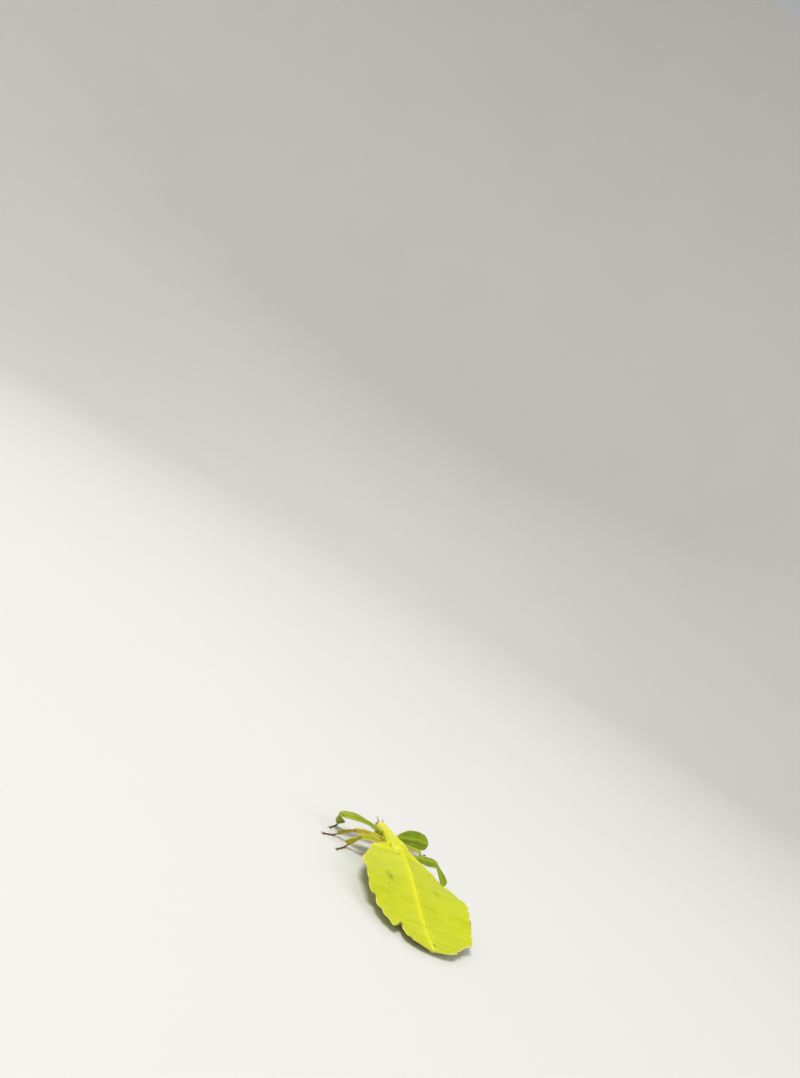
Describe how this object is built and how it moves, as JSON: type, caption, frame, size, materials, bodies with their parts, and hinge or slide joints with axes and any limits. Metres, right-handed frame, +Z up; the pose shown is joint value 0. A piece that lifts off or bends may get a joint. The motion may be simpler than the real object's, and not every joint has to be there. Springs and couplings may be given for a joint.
{
  "type": "leaf insect",
  "caption": "Life-size female leaf insect nymph with a broad flat leaf-shaped abdomen, toothed pale margin and lobed legs, standing low on the ground",
  "frame": {"origin": "on the ground, under the middle of the outline", "axes": "+Z up, +Y towards the head, +X to the animal's right"},
  "size_m": [0.0676, 0.0902, 0.0117],
  "materials": {
    "leaf": "waxy yellow-green cuticle, slightly translucent, pale toothed rim",
    "thorax": "satin yellow-green cuticle with small bumps",
    "leg": "satin green cuticle with a pale rim",
    "foot": "satin brown cuticle",
    "feeler": "satin orange-brown cuticle",
    "eye": "glossy olive-brown compound eye"
  },
  "bodies": {
    "root": {"head": "thorax", "eye_left": "eye", "eye_right": "eye", "antenna_left": "feeler", "antenna_right": "feeler", "mouthparts": "thorax", "palp_left": "thorax", "palp_right": "thorax", "prothorax": "thorax", "mesothorax": "thorax", "metathorax": "thorax", "wing_pad_left": "thorax", "wing_pad_right": "thorax", "abdomen_segment_2": "leaf", "abdomen_segment_3": "leaf", "abdomen_segment_4": "leaf", "abdomen_segment_5": "leaf", "abdomen_segment_6": "leaf", "abdomen_segment_7": "leaf", "abdomen_segment_8": "leaf", "abdomen_tip": "leaf", "left_fore_coxa": "thorax", "left_fore_femur": "leg", "left_fore_tibia": "leg", "left_fore_tarsus": "foot", "left_mid_coxa": "thorax", "left_mid_femur": "leg", "left_mid_tibia": "leg", "left_mid_tarsus": "foot", "left_hind_coxa": "thorax", "left_hind_femur": "leg", "left_hind_tibia": "leg", "left_hind_tarsus": "foot", "right_fore_coxa": "thorax", "right_fore_femur": "leg", "right_fore_tibia": "leg", "right_fore_tarsus": "foot", "right_mid_coxa": "thorax", "right_mid_femur": "leg", "right_mid_tibia": "leg", "right_mid_tarsus": "foot", "right_hind_coxa": "thorax", "right_hind_femur": "leg", "right_hind_tibia": "leg", "right_hind_tarsus": "foot"}
  },
  "joints": []
}
